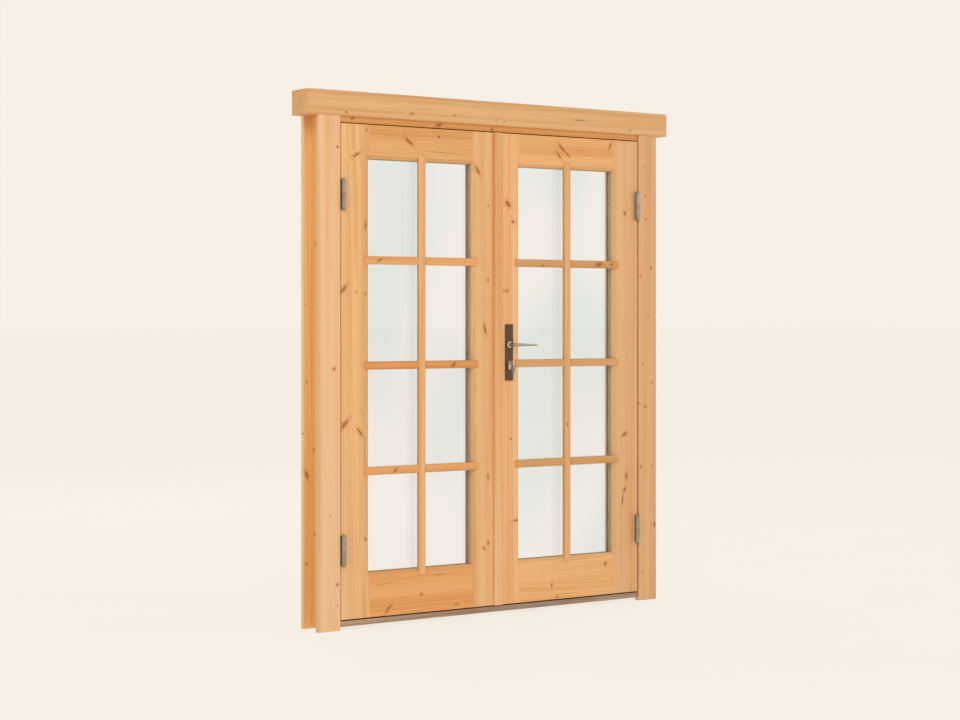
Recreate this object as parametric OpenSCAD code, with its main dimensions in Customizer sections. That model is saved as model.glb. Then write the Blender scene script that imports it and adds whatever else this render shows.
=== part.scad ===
// Glazed timber double door with its frame, for a plank or log wall.
// X runs along the door, +Y goes from outside to inside, +Z is up.
// Origin: middle of the underside of the threshold, on the wall's middle plane.

/* [Frame] */
// Width over the front casings
frame_w = 1606; // [1400:2:2000]
// Height from the underside of the threshold to the underside of the beam
frame_h = 1892; // [1700:1:2200]
// Thickness of wall that the side grooves take
wall_slot = 88; // [60:1:120]
// Depth of the side grooves
groove_depth = 32; // [15:1:45]
// Thickness of the jambs beside the leaves
jamb_t = 62; // [45:1:90]
// Depth by which the stops lap behind the leaves
stop_lap = 16; // [10:1:25]
// Thickness of the head jamb
head_t = 23; // [18:1:45]
// Height of the stop under the head jamb
head_stop_h = 19; // [12:1:30]
// Height of the threshold in front of the leaves
sill_h = 22; // [16:1:35]
// Height of the threshold's stop behind the leaves
sill_stop_h = 18; // [12:1:30]
// Setback of the threshold and head jamb behind the leaves' face
sill_setback = 3; // [0:0.5:15]

/* [Casings and beam] */
// Thickness of the front casings
front_casing_t = 25; // [18:0.5:32]
// Thickness of the back casings
back_casing_t = 21; // [15:0.5:30]
// Step between a jamb's face and its front casing's edge
casing_step = 2; // [0.5:0.5:8]
// Width of the stops' face left bare by the back casings
back_reveal = 10; // [4:1:18]
// Length of the side casings below the threshold
casing_drop = 12; // [5:1:40]
// Height of the board across the back
head_casing_h = 100; // [80:1:140]
// Height of the beam
beam_h = 92; // [70:1:140]
// Length of the beam past each casing
beam_overhang = 50; // [20:1:120]
// Distance that the beam stands out from the front casings
beam_proud = 5; // [2:0.5:25]
// Arris on the edges of boards
arris = 2; // [0.5:0.5:4]

/* [Leaves] */
// Thickness of the leaves
leaf_t = 56; // [48:1:64]
// Distance of the leaves' face behind the casings' face
leaf_inset = 6; // [0:0.5:10]
// Gap between a leaf and its jamb
side_gap = 3; // [2.6:0.1:5]
// Gap above and below the leaves
end_gap = 4; // [3:0.5:8]
// Gap between the leaves at their front face
meeting_gap = 4; // [3:0.5:6]
// Width by which the meeting edges narrow towards the back
meeting_bevel = 4; // [4:0.5:6]
// Gap between the leaves' back and the stops
seal_gap = 4; // [2.5:0.5:8]
// Width of the hinge stiles and of the active leaf's meeting stile
stile_w = 124; // [110:1:150]
// Width of the passive leaf's meeting stile
passive_stile_w = 96; // [80:1:120]
// Width of the top rails
top_rail_w = 126; // [90:1:180]
// Width of the bottom rails
bottom_rail_w = 166; // [120:1:260]
// Length of the rails' tenons
tenon_l = 60; // [30:1:75]
// Thickness of the rails' tenons
tenon_t = 16; // [10:1:18]

/* [Glazing] */
// Size of the bevel around each glazed opening
light_bevel = 12; // [6:0.5:16]
// Depth of the glass behind the leaves' face
glass_setback = 26; // [20:1:30]
// Thickness of one pane
pane_t = 4; // [3:0.5:6]
// Width of the space between the panes
pane_space = 12; // [6:1:14]
// Depth of the rebate around the glass
rebate = 14; // [10:1:18]
// Clearance around the glass in its rebate
glass_clear = 0.8; // [0.5:0.1:0.9]
// Width of the spacer between the panes
spacer_w = 9; // [6:0.5:11]

/* [Glazing bars] */
// Width of the bars
bar_w = 30; // [20:1:45]
// Distance that the bars stand out from the leaves' face
bar_proud = 4; // [2:0.5:6]
// Bevel on the bars' front edges
bar_bevel = 3; // [1:0.5:3.5]
// Lap of the bars on the flat face beyond the bevel
bar_lap = 10; // [4:1:15]
// Number of cross bars in each leaf
cross_bars = 3; // [1:1:5]

/* [Cover strip] */
// Width of the strip that covers the meeting gap
strip_w = 36; // [25:1:50]
// Thickness of the cover strip
strip_t = 12; // [8:1:18]
// Clearance beside the passive leaf's edge
strip_clear = 0.5; // [0.3:0.1:2]

/* [Hinges] */
// Length of a hinge's barrel
hinge_l = 110; // [80:1:140]
// Radius of a hinge's barrel
barrel_r = 9; // [8:0.5:9]
// Radius of a hinge's pin
pin_r = 5; // [4:0.5:5.5]
// Radial running clearance of pins, bolts and levers
run_clear = 0.08; // [0.04:0.01:0.1]
// Thickness of the hinges' plates
hinge_plate_t = 2.4; // [1.5:0.1:2.4]
// Depth of the hinges' plates in the gap
hinge_plate_d = 48; // [30:1:55]
// Distance of the pins' ends inside the barrels' ends
pin_inset = 15.4; // [10:0.1:25]
// Thickness of the washer between the halves
washer_t = 1; // [0.8:0.1:2]
// Distance of the hinge axis in front of the leaves' face
axis_out = 10; // [10:0.5:14]
// Distance of the lower hinges' middle above the leaves' bottom
hinge_low = 256; // [180:1:300]
// Distance of the upper hinges' middle below the leaves' top
hinge_high = 264; // [180:1:300]

/* [Lock and levers] */
// Height of the levers above the leaves' bottom
lever_z = 1013; // [900:1:1100]
// Distance between the levers' axis and the key's
key_drop = 72; // [70:1:92]
// Distance of the levers' axis from the active leaf's edge
backset = 71; // [60:1:75]
// Width of the lever plates
plate_w = 37; // [35:1:45]
// Height of the lever plates
plate_h = 220; // [200:1:240]
// Distance of the plates' top above the levers' axis
plate_top = 80; // [60:1:90]
// Thickness of the lever plates
plate_t = 3; // [2:0.5:5]
// Length of a lever from its axis to its tip
lever_l = 110; // [95:1:130]
// Distance of the levers' grip from the plates
lever_out = 44; // [43:1:60]
// Radius of the levers' necks
neck_r = 8; // [7:0.5:10]
// Side of the square spindle
spindle_w = 8; // [7:1:8]
// Height of the lock case
case_h = 165; // [160:1:180]
// Width of the latch and of the deadbolt, through the leaf
bolt_t = 11; // [8:0.5:11]
// Height of the latch bolt
latch_h = 20; // [16:1:24]
// Height of the deadbolt
deadbolt_h = 28; // [22:1:32]
// Travel of the deadbolt
deadbolt_throw = 20; // [14:1:22]

/* [Passive leaf's bolts] */
// Radius of the bolts' rods
rod_r = 5; // [4:0.5:6]
// Length of a bolt's bracket
bracket_l = 110; // [90:1:150]
// Travel of the bolts
rod_throw = 15; // [10:1:16]

/* [Hidden] */
$fn = 48;

LEFT = -1;
RIGHT = 1;

// Depths, from the wall's middle plane
slot_y0 = -wall_slot / 2;
slot_y1 = wall_slot / 2;
front_y = slot_y0 - front_casing_t;
leaf_y = front_y + leaf_inset;
stop_y = leaf_y + leaf_t + seal_gap;
sill_y = leaf_y + sill_setback;

// Widths, from the door's middle
casing_x = frame_w / 2;
jamb_out_x = casing_x - groove_depth;
jamb_in_x = jamb_out_x - jamb_t;
leaf_x = jamb_in_x - side_gap;
stop_x = leaf_x - stop_lap;
daylight = 2 * leaf_x - meeting_gap;
light_w = (daylight - 3 * stile_w - passive_stile_w) / 2;
passive_w = stile_w + light_w + passive_stile_w;
active_w = 2 * stile_w + light_w;

// Heights
leaf_z = sill_h + end_gap;
leaf_h = frame_h - head_t - end_gap - leaf_z;
light_h = leaf_h - top_rail_w - bottom_rail_w;

// Glazing depths, from the leaves' face
glass_t = 2 * pane_t + pane_space;
bead_y = glass_setback + glass_t;
glass_lap = rebate - glass_clear;

// Hinges
axis_x = leaf_x - barrel_r + side_gap;
half_l = (hinge_l - washer_t) / 2;
hinge_zs = [leaf_z + hinge_low, leaf_z + leaf_h - hinge_high];
pin_l = hinge_l - 2 * pin_inset;

// Lock, in the active leaf's own frame
edge_set = meeting_bevel * 0.75;
lever_u = active_w - backset;
key_z = lever_z - key_drop;
mid_y = leaf_t / 2;
forend_t = 3;
forend_w = 20;
forend_h = 235;
forend_face_u = active_w - edge_set;
case_d = backset + 22;
case_t = 15;
case_wall = 1.5;
case_top = lever_z + 52;
case_u1 = forend_face_u - forend_t;
latch_out = 2.5;
latch_l = 36;
deadbolt_l = 46;
follower_r = 11;
cylinder_r = 8.5;
cylinder_drop = 24.5;
cylinder_web = 10;
plug_r = 6.5;
cam_r = 12.5;
cam_t = 9;
screw_r = 2;
plate_screw_r = 3;
rose_r = 13.5;
rose_t = 4;
fit_gap = 0.15;

// Distance by which cuts run past the faces that they open
past = 1;
pin_end_gap = 1;
seal_clear = 0.3;
seal_bare = 4;
screw_l = 25;
forend_rise = 35;
forend_screw_out = 20;
strike_h = 160;
strike_drop = 45;
strike_screw_in = 12;
pocket_clear = 1;
deadbolt_spare = 4;
plate_screw_in = 14;
screw_head_t = 1.2;
screw_head_rim = 1.5;
cylinder_proud = 2;
plug_short = 5;
cam_w = 6;
cam_clear = 0.5;
keyway_w = 2.6;
keyway_h = 8.4;
spindle_short = 12;
grip_bend = 0.35;
grip_thin = 0.95;
tip_r = 4;
tip_back = 2;

// Key and ring
bow_r = 12;
bow_t = 2.4;
bow_out = 14;
ring_r = 9;
wire_r = 0.9;
ring_hole_r = 2.4;
spare_shift = 3;
ring_play = 0.8;
blade_w = 8;
blade_reach = 20;

// Bolts on the passive leaf
rod_u = passive_w - 48;
rod_y = leaf_t + 9;
rod_rest_gap = 4;
bracket_t = 2;
bracket_w = 24;
guide_l = 14;
rod_l = bracket_l + 20;
rod_hole_r = rod_r + 0.6;
bracket_end = 12;
guide_wall = 3;
knob_neck_r = 4;
knob_neck_l = 20;
knob_r = 8;
knob_t = 6;
stop_under_z = frame_h - head_t - head_stop_h;
sill_top_z = sill_h + sill_stop_h;

wood = [0.90, 0.71, 0.50];
wood_rail = [0.87, 0.66, 0.44];
wood_casing = [0.90, 0.73, 0.56];
wood_beam = [0.86, 0.67, 0.45];
weathered = [0.62, 0.53, 0.45];
steel = [0.70, 0.69, 0.66];
dark_steel = [0.36, 0.29, 0.25];
glass = [0.86, 0.91, 0.90, 0.4];
rubber = [0.69, 0.48, 0.29];

// ---- helpers ----

// A block from one corner to the opposite one
module block(a, b) {
    translate(a) cube(b - a);
}

// An outline in X and Z pushed back along Y from y0 to y1
module slab(y0, y1) {
    translate([0, y1, 0]) rotate([90, 0, 0]) linear_extrude(y1 - y0) children();
}

// An outline in Y and Z pushed along X from x0 to x1
module rail_run(x0, x1) {
    translate([x0, 0, 0]) rotate([90, 0, 90]) linear_extrude(x1 - x0) children();
}

// A rectangle with its four corners cut off
module cut_rect(w, d, c) {
    polygon([[c, 0], [w - c, 0], [w, c], [w, d - c], [w - c, d], [c, d], [0, d - c], [0, c]]);
}

// A rectangle of x, y, w, d
module rect_at(x, y, w, d) {
    translate([x, y]) square([w, d]);
}

// A cylinder along +Y from y0 to y1 about (x, z)
module rod_y_at(x, z, y0, y1, r) {
    translate([x, y1, z]) rotate([90, 0, 0]) cylinder(r = r, h = y1 - y0);
}

// Places a leaf's own frame: x from the hinge edge, y from the front face, z from the bottom
module on_leaf(side) {
    if (side == LEFT) translate([-leaf_x, leaf_y, leaf_z]) children();
    else translate([leaf_x, leaf_y, leaf_z]) mirror([1, 0, 0]) children();
}

module on_side(side) {
    if (side == LEFT) children();
    else mirror([1, 0, 0]) children();
}

// ---- frame ----

module jamb(side) {
    color(wood) on_side(side) linear_extrude(frame_h) polygon([
        [-jamb_out_x, slot_y0], [-jamb_in_x, slot_y0], [-jamb_in_x, stop_y],
        [-stop_x, stop_y], [-stop_x, slot_y1], [-jamb_out_x, slot_y1]]);
}

module head_jamb() {
    color(wood_rail) difference() {
        union() {
            block([-jamb_in_x, sill_y, frame_h - head_t], [jamb_in_x, stop_y, frame_h]);
            block([-stop_x, stop_y, stop_under_z], [stop_x, slot_y1, frame_h]);
        }
        translate([rod_x(), leaf_y + rod_y, stop_under_z - 1])
            cylinder(r = rod_hole_r, h = rod_throw + 3);
    }
}

module threshold() {
    color(weathered) difference() {
        union() {
            rail_run(-jamb_in_x, jamb_in_x) polygon([
                [sill_y, 0], [stop_y, 0], [stop_y, sill_h], [stop_y - leaf_t / 2, sill_h],
                [sill_y, sill_h - arris]]);
            block([-stop_x, stop_y, 0], [stop_x, slot_y1, sill_top_z]);
        }
        translate([rod_x(), leaf_y + rod_y, sill_top_z - rod_throw - 2])
            cylinder(r = rod_hole_r, h = rod_throw + 3);
    }
}

module head_beam() {
    len = frame_w + 2 * beam_overhang;
    color(wood_beam) rail_run(-len / 2, len / 2)
        translate([front_y - beam_proud, frame_h])
            cut_rect(slot_y1 - front_y + beam_proud, beam_h, arris);
}

module front_casing(side) {
    color(wood_casing) on_side(side) translate([-casing_x, front_y, -casing_drop])
        linear_extrude(frame_h + casing_drop)
            polygon([[arris, 0], [casing_x - jamb_in_x - casing_step - arris, 0],
                     [casing_x - jamb_in_x - casing_step, arris],
                     [casing_x - jamb_in_x - casing_step, front_casing_t],
                     [0, front_casing_t], [0, arris]]);
}

back_w = casing_x - stop_x - back_reveal;
head_casing_z = stop_under_z + back_reveal;

module back_casing(side) {
    color(wood_casing) on_side(side) translate([-casing_x, slot_y1, -casing_drop])
        linear_extrude(head_casing_z + head_casing_h + casing_drop)
            polygon([[0, 0], [back_w, 0], [back_w, back_casing_t - arris],
                     [back_w - arris, back_casing_t], [arris, back_casing_t],
                     [0, back_casing_t - arris]]);
}

module head_back_casing() {
    color(wood_casing) rail_run(-casing_x + back_w, casing_x - back_w)
        translate([slot_y1, head_casing_z]) polygon([
            [0, 0], [back_casing_t - arris, 0], [back_casing_t, arris],
            [back_casing_t, head_casing_h - arris], [back_casing_t - arris, head_casing_h],
            [0, head_casing_h]]);
}

// A strip on the front of the stops, just clear of the closed leaves
module frame_seal() {
    seal_w = stop_lap - seal_bare;
    y0 = leaf_y + leaf_t + seal_clear;
    color(rubber) {
        for (side = [LEFT, RIGHT]) on_side(side)
            block([-stop_x - seal_w, y0, sill_top_z], [-stop_x, stop_y, stop_under_z]);
        block([-stop_x, y0, stop_under_z], [stop_x, stop_y, stop_under_z + seal_w]);
    }
}

// ---- hinges ----

// Plate that reaches back from a barrel into the gap; x0 is its face beside the leaf
module hinge_plate(x0, z0) {
    block([x0, leaf_y - axis_out, z0], [x0 + hinge_plate_t, leaf_y + hinge_plate_d, z0 + half_l]);
}

module half_barrel(z0) {
    translate([axis_x, leaf_y - axis_out, z0]) cylinder(r = barrel_r, h = half_l);
}

module pin_bore(z0, r) {
    translate([axis_x, leaf_y - axis_out, z0]) cylinder(r = r, h = pin_l);
}

module frame_hinge_halves() {
    color(steel) for (side = [LEFT, RIGHT]) mirror([side == LEFT ? 1 : 0, 0, 0])
        for (z = hinge_zs) difference() {
            union() {
                half_barrel(z - hinge_l / 2);
                hinge_plate(jamb_in_x - hinge_plate_t, z - hinge_l / 2);
            }
            pin_bore(z - pin_l / 2, pin_r);
        }
}

module leaf_hinge_halves(side) {
    color(steel) mirror([side == LEFT ? 1 : 0, 0, 0])
        for (z = hinge_zs) difference() {
            union() {
                half_barrel(z + washer_t / 2);
                hinge_plate(leaf_x, z + washer_t / 2);
            }
            pin_bore(z - pin_l / 2, pin_r + run_clear);
        }
}

module hinge_pins() {
    color(steel) for (side = [LEFT, RIGHT]) for (z = hinge_zs)
        translate([side * axis_x, leaf_y - axis_out, z - pin_l / 2])
            cylinder(r = pin_r, h = pin_l - pin_end_gap);
}

module hinge_washers() {
    color("goldenrod") for (side = [LEFT, RIGHT]) for (z = hinge_zs)
        translate([side * axis_x, leaf_y - axis_out, z - washer_t / 2]) difference() {
            cylinder(r = barrel_r, h = washer_t);
            translate([0, 0, -1]) cylinder(r = pin_r + run_clear, h = washer_t + 2);
        }
}

// ---- leaves: timber ----

// An outline across the depth: wider by the bevel in front, w wide from its end backwards
module bevel_plan(w) {
    polygon([[-light_bevel - 1, -1], [w + light_bevel + 1, -1], [w, light_bevel],
             [w, leaf_t + 1], [0, leaf_t + 1], [0, light_bevel]]);
}

// The glazed opening: bevel in front, straight way through, rebate at the back
module light_cut() {
    spare = light_bevel + 2;
    intersection() {
        translate([stile_w, 0, bottom_rail_w - spare])
            linear_extrude(light_h + 2 * spare) bevel_plan(light_w);
        translate([0, 0, bottom_rail_w])
            rail_run(stile_w - spare, stile_w + light_w + spare)
                rotate([0, 0, 90]) mirror([0, 1, 0]) bevel_plan(light_h);
    }
    block([stile_w - rebate, glass_setback, bottom_rail_w - rebate],
          [stile_w + light_w + rebate, leaf_t + 1, bottom_rail_w + light_h + rebate]);
}

// Both tenons, or their mortises, of a rail of width w at height z
module tenons(z, w) {
    shoulder = rebate + 6;
    for (x = [stile_w - tenon_l, stile_w + light_w])
        block([x, glass_setback - tenon_t, z + shoulder],
              [x + tenon_l, glass_setback, z + w - shoulder]);
}

module all_tenons() {
    tenons(0, bottom_rail_w);
    tenons(bottom_rail_w + light_h, top_rail_w);
}

module hinge_stile(side) {
    color(wood) on_leaf(side) difference() {
        block([0, 0, 0], [stile_w, leaf_t, leaf_h]);
        light_cut();
        all_tenons();
    }
}

// Plan of a meeting stile, its free edge at x = w, narrower at the back
module meeting_plan(w, own_w) {
    polygon([[w - own_w, 0], [w, 0], [w - meeting_bevel, leaf_t], [w - own_w, leaf_t]]);
}

module left_meeting_stile() {
    color(wood) on_leaf(LEFT) difference() {
        linear_extrude(leaf_h) meeting_plan(passive_w, passive_stile_w);
        light_cut();
        all_tenons();
        strike_recess();
    }
}

module right_meeting_stile() {
    color(wood) on_leaf(RIGHT) difference() {
        linear_extrude(leaf_h) meeting_plan(active_w, stile_w);
        light_cut();
        all_tenons();
        lock_recess();
    }
}

module rail(side, z, w) {
    color(wood_rail) on_leaf(side) difference() {
        union() {
            block([stile_w, 0, z], [stile_w + light_w, leaf_t, z + w]);
            tenons(z, w);
        }
        light_cut();
    }
}

// ---- leaves: glazing ----

module pane(y) {
    block([stile_w - glass_lap, y, bottom_rail_w - glass_lap],
          [stile_w + light_w + glass_lap, y + pane_t, bottom_rail_w + light_h + glass_lap]);
}

module panes(side) {
    color(glass) on_leaf(side) {
        pane(glass_setback);
        pane(glass_setback + pane_t + pane_space);
    }
}

module spacer(side) {
    out = glass_lap - 2;
    inn = out - spacer_w;
    y0 = glass_setback + pane_t;
    color(steel) on_leaf(side) difference() {
        block([stile_w - out, y0, bottom_rail_w - out],
              [stile_w + light_w + out, y0 + pane_space, bottom_rail_w + light_h + out]);
        block([stile_w - inn, y0 - 1, bottom_rail_w - inn],
              [stile_w + light_w + inn, y0 + pane_space + 1, bottom_rail_w + light_h + inn]);
    }
}

// Four beads that hold the glass from inside
module beads(side) {
    x0 = stile_w;
    x1 = stile_w + light_w;
    z0 = bottom_rail_w;
    z1 = bottom_rail_w + light_h;
    color(wood) on_leaf(side) {
        for (z = [z0 - rebate, z1])
            block([x0 - rebate, bead_y, z], [x1 + rebate, leaf_t, z + rebate]);
        for (x = [x0 - rebate, x1])
            block([x, bead_y, z0], [x + rebate, leaf_t, z1]);
    }
}

// ---- leaves: glazing bars ----

bar_depth = light_bevel + bar_proud;

// A bar along X over an opening of length len, middle at z = 0, bevelled along its front
// edges; its ends sit in the opening's bevel and lap on the flat face
module bar(len) {
    lip = light_bevel + bar_lap;
    intersection() {
        translate([0, 0, -bar_w / 2]) linear_extrude(bar_w) polygon([
            [-lip, -bar_proud], [len + lip, -bar_proud], [len + lip, 0],
            [len + light_bevel, 0], [len, light_bevel], [0, light_bevel], [-light_bevel, 0],
            [-lip, 0]]);
        rail_run(-lip - 1, len + lip + 1) polygon([
            [-bar_proud, -bar_w / 2 + bar_bevel], [-bar_proud + bar_bevel, -bar_w / 2],
            [light_bevel, -bar_w / 2], [light_bevel, bar_w / 2],
            [-bar_proud + bar_bevel, bar_w / 2], [-bar_proud, bar_w / 2 - bar_bevel]]);
    }
}

lap_y = light_bevel - bar_depth / 2;
bar_pitch = (light_h + bar_w) / (cross_bars + 1);
bar_mid_x = stile_w + light_w / 2;

function cross_z(i) = bottom_rail_w - bar_w / 2 + bar_pitch * i;

module upright_bar(side) {
    color(wood) on_leaf(side) difference() {
        translate([bar_mid_x, 0, bottom_rail_w]) rotate([0, -90, 0]) bar(light_h);
        for (i = [1 : cross_bars])
            block([bar_mid_x - bar_w, lap_y, cross_z(i) - bar_w / 2],
                  [bar_mid_x + bar_w, light_bevel + 1, cross_z(i) + bar_w / 2]);
    }
}

module cross_bar_set(side) {
    color(wood_rail) on_leaf(side) for (i = [1 : cross_bars]) difference() {
        translate([stile_w, 0, cross_z(i)]) bar(light_w);
        block([bar_mid_x - bar_w / 2, -bar_proud - 1, cross_z(i) - bar_w],
              [bar_mid_x + bar_w / 2, lap_y, cross_z(i) + bar_w]);
    }
}

module cover_strip() {
    color(wood) on_leaf(RIGHT) translate([active_w + meeting_gap - strip_clear, 0, 0])
        mirror([1, 0, 0]) linear_extrude(leaf_h) polygon([
            [0, 0], [0, -strip_t + arris], [arris, -strip_t], [strip_w - arris, -strip_t],
            [strip_w, -strip_t + arris], [strip_w, 0]]);
}

// ---- lock ----

latch_z = lever_z;
strike_u = passive_w - edge_set;
strike_deep = deadbolt_throw + deadbolt_spare;
strike_z0 = key_z - strike_drop;

module lock_case() {
    color(steel) on_leaf(RIGHT) difference() {
        block([case_u1 - case_d, mid_y - case_t / 2, case_top - case_h],
              [case_u1, mid_y + case_t / 2, case_top]);
        block([case_u1 - case_d + case_wall, mid_y - case_t / 2 + case_wall,
               case_top - case_h + case_wall],
              [case_u1 + 1, mid_y + case_t / 2 - case_wall, case_top - case_wall]);
        rod_y_at(lever_u, lever_z, 0, leaf_t, spindle_w);
        cylinder_outline_cut();
    }
}

module lock_forend() {
    color(steel) on_leaf(RIGHT) difference() {
        block([case_u1, mid_y - forend_w / 2, case_top + forend_rise - forend_h],
              [forend_face_u, mid_y + forend_w / 2, case_top + forend_rise]);
        bolt_slot(latch_z, latch_h);
        bolt_slot(key_z, deadbolt_h);
        forend_screw_set(screw_r + fit_gap);
    }
}

module bolt_slot(z, h) {
    block([case_u1 - 1, mid_y - bolt_t / 2 - fit_gap, z - h / 2 - fit_gap],
          [forend_face_u + 1, mid_y + bolt_t / 2 + fit_gap, z + h / 2 + fit_gap]);
}

// Screws through the forend, above and below the case
module forend_screw_set(r) {
    for (z = [case_top + forend_screw_out, case_top - case_h - forend_screw_out])
        translate([forend_face_u - screw_l, mid_y, z]) rotate([0, 90, 0])
            cylinder(r = r, h = screw_l);
}

module forend_screws() {
    color(steel) on_leaf(RIGHT) forend_screw_set(screw_r);
}

// Room in the active stile for the lock, its spindle, cylinder and screws
module lock_recess() {
    block([case_u1 - case_d - fit_gap, mid_y - case_t / 2 - fit_gap,
           case_top - case_h - fit_gap],
          [active_w + 1, mid_y + case_t / 2 + fit_gap, case_top + fit_gap]);
    block([case_u1, mid_y - forend_w / 2 - fit_gap, case_top + forend_rise - forend_h - fit_gap],
          [active_w + 1, mid_y + forend_w / 2 + fit_gap, case_top + forend_rise + fit_gap]);
    rod_y_at(lever_u, lever_z, -1, leaf_t + 1, rose_r - 2);
    cylinder_outline_cut();
    forend_screw_set(screw_r);
    for (z = plate_screw_zs) rod_y_at(lever_u, z, -1, leaf_t + 1, plate_screw_r);
}

// Room in the passive stile for the strike plate and both bolts
module strike_recess() {
    block([strike_u - forend_t, mid_y - forend_w / 2 - fit_gap, strike_z0 - fit_gap],
          [passive_w + 1, mid_y + forend_w / 2 + fit_gap, strike_z0 + strike_h + fit_gap]);
    pocket(latch_z, latch_h, strike_deep);
    pocket(key_z, deadbolt_h, strike_deep);
    strike_screw_set(screw_r);
}

module pocket(z, h, deep) {
    block([strike_u - deep, mid_y - bolt_t / 2 - pocket_clear, z - h / 2 - pocket_clear],
          [passive_w + past, mid_y + bolt_t / 2 + pocket_clear, z + h / 2 + pocket_clear]);
}

module strike_screw_set(r) {
    for (z = [strike_z0 + strike_screw_in, strike_z0 + strike_h - strike_screw_in])
        translate([strike_u - screw_l, mid_y, z]) rotate([0, 90, 0])
            cylinder(r = r, h = screw_l);
}

module strike_plate() {
    color(steel) on_leaf(LEFT) difference() {
        block([strike_u - forend_t, mid_y - forend_w / 2, strike_z0],
              [strike_u, mid_y + forend_w / 2, strike_z0 + strike_h]);
        pocket(latch_z, latch_h, strike_deep);
        pocket(key_z, deadbolt_h, strike_deep);
        strike_screw_set(screw_r + fit_gap);
    }
}

module strike_screws() {
    color(steel) on_leaf(LEFT) strike_screw_set(screw_r);
}

module latch_bolt() {
    tip = forend_face_u + latch_out;
    color(steel) on_leaf(RIGHT)
        translate([0, 0, latch_z - latch_h / 2]) linear_extrude(latch_h) polygon([
            [tip - latch_l, mid_y - bolt_t / 2], [tip, mid_y - bolt_t / 2],
            [tip, mid_y + bolt_t / 2 - latch_out], [tip - latch_out, mid_y + bolt_t / 2],
            [tip - latch_l, mid_y + bolt_t / 2]]);
}

module deadbolt() {
    color(steel) on_leaf(RIGHT)
        block([forend_face_u - deadbolt_l, mid_y - bolt_t / 2, key_z - deadbolt_h / 2],
              [forend_face_u, mid_y + bolt_t / 2, key_z + deadbolt_h / 2]);
}

module lock_follower() {
    color(steel) on_leaf(RIGHT) difference() {
        rod_y_at(lever_u, lever_z, mid_y - bolt_t / 2, mid_y + bolt_t / 2, follower_r);
        spindle_block(spindle_w + fit_gap);
    }
}

module spindle_block(w) {
    reach = lever_out - spindle_short;
    block([lever_u - w / 2, -reach, lever_z - w / 2],
          [lever_u + w / 2, leaf_t + reach, lever_z + w / 2]);
}

module spindle() {
    color(steel) on_leaf(RIGHT) spindle_block(spindle_w);
}

// Outline of the profile cylinder, grown by g
module cylinder_outline(g) {
    circle(r = cylinder_r + g);
    rect_at(-cylinder_web / 2 - g, -cylinder_drop - g, cylinder_web + 2 * g, cylinder_drop);
}

module cylinder_outline_cut() {
    translate([lever_u, 0, key_z]) slab(-plate_t - 1, leaf_t + plate_t + 1)
        cylinder_outline(fit_gap);
}

module lock_cylinder() {
    color(steel) on_leaf(RIGHT) translate([lever_u, 0, key_z]) difference() {
        slab(-plate_t - cylinder_proud, leaf_t + plate_t + cylinder_proud)
            cylinder_outline(0);
        rod_y_at(0, 0, -plate_t - cylinder_proud - past, leaf_t + plate_t - plug_short + past,
                 plug_r + run_clear);
        rod_y_at(0, 0, mid_y - cam_t / 2 - cam_clear, mid_y + cam_t / 2 + cam_clear, cam_r + 1);
    }
}

module cylinder_plug() {
    color(steel) on_leaf(RIGHT) translate([lever_u, 0, key_z]) difference() {
        union() {
            rod_y_at(0, 0, -plate_t - cylinder_proud, leaf_t + plate_t - plug_short, plug_r);
            intersection() {
                rod_y_at(0, 0, mid_y - cam_t / 2, mid_y + cam_t / 2, cam_r);
                block([-cam_w / 2, 0, 0], [cam_w / 2, leaf_t, cam_r + past]);
            }
        }
        block([-keyway_w / 2, -plate_t - cylinder_proud - past, -keyway_h / 2],
              [keyway_w / 2, mid_y - cam_t, keyway_h / 2]);
    }
}

// A key's head and blade, its head's middle at the origin, blade along +Y
module key_shape(blade_l) {
    rotate([0, 90, 0]) difference() {
        translate([0, 0, -bow_t / 2]) linear_extrude(bow_t) {
            circle(r = bow_r);
            rect_at(-blade_w / 2, 0, blade_w, bow_r + blade_l);
        }
        translate([0, -bow_r / 2, -bow_t])
            cylinder(r = ring_hole_r, h = 2 * bow_t);
    }
}

bow_y = -plate_t - cylinder_proud - bow_out - past;
ring_y = bow_y - bow_r / 2;
hang = ring_hole_r - wire_r - ring_play;
ring_mid_z = key_z - hang - ring_r;

module key() {
    color(dark_steel) on_leaf(RIGHT) translate([lever_u, bow_y, key_z])
        key_shape(bow_out + blade_reach - bow_r);
}

module key_ring() {
    color(steel) on_leaf(RIGHT) translate([lever_u, ring_y, ring_mid_z]) rotate([90, 0, 0])
        rotate_extrude() translate([ring_r, 0]) circle(r = wire_r, $fn = 24);
}

// The spare key hangs from the ring beside the other key's head, blade down
module spare_key() {
    drop = sqrt(ring_r * ring_r - spare_shift * spare_shift) + hang;
    color(dark_steel) on_leaf(RIGHT)
        translate([lever_u - spare_shift, ring_y, ring_mid_z - drop - bow_r / 2])
            rotate([-90, 0, 0]) key_shape(blade_reach);
}

// ---- levers and plates ----

plate_screw_zs = [lever_z + plate_top - plate_screw_in,
                  lever_z + plate_top - plate_h + plate_screw_in];

// One lever plate with its round seat, front face outwards along -Y, back at y = 0
module plate_shape() {
    z0 = lever_z + plate_top - plate_h;
    difference() {
        union() {
            translate([lever_u - plate_w / 2, -plate_t, z0]) cube([plate_w, plate_t, plate_h]);
            rod_y_at(lever_u, lever_z, -plate_t - rose_t, 0, rose_r);
        }
        rod_y_at(lever_u, lever_z, -plate_t - rose_t - 1, 1, neck_r + run_clear);
        cylinder_outline_cut();
        for (z = plate_screw_zs) rod_y_at(lever_u, z, -plate_t - 1, 1, plate_screw_r + fit_gap);
    }
}

// Turns what stands on the front face round to the back face
module at_back() {
    translate([0, leaf_t, 0]) mirror([0, 1, 0]) children();
}

module outer_plate() {
    color(dark_steel) on_leaf(RIGHT) plate_shape();
}

module inner_plate() {
    color(dark_steel) on_leaf(RIGHT) at_back() plate_shape();
}

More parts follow.
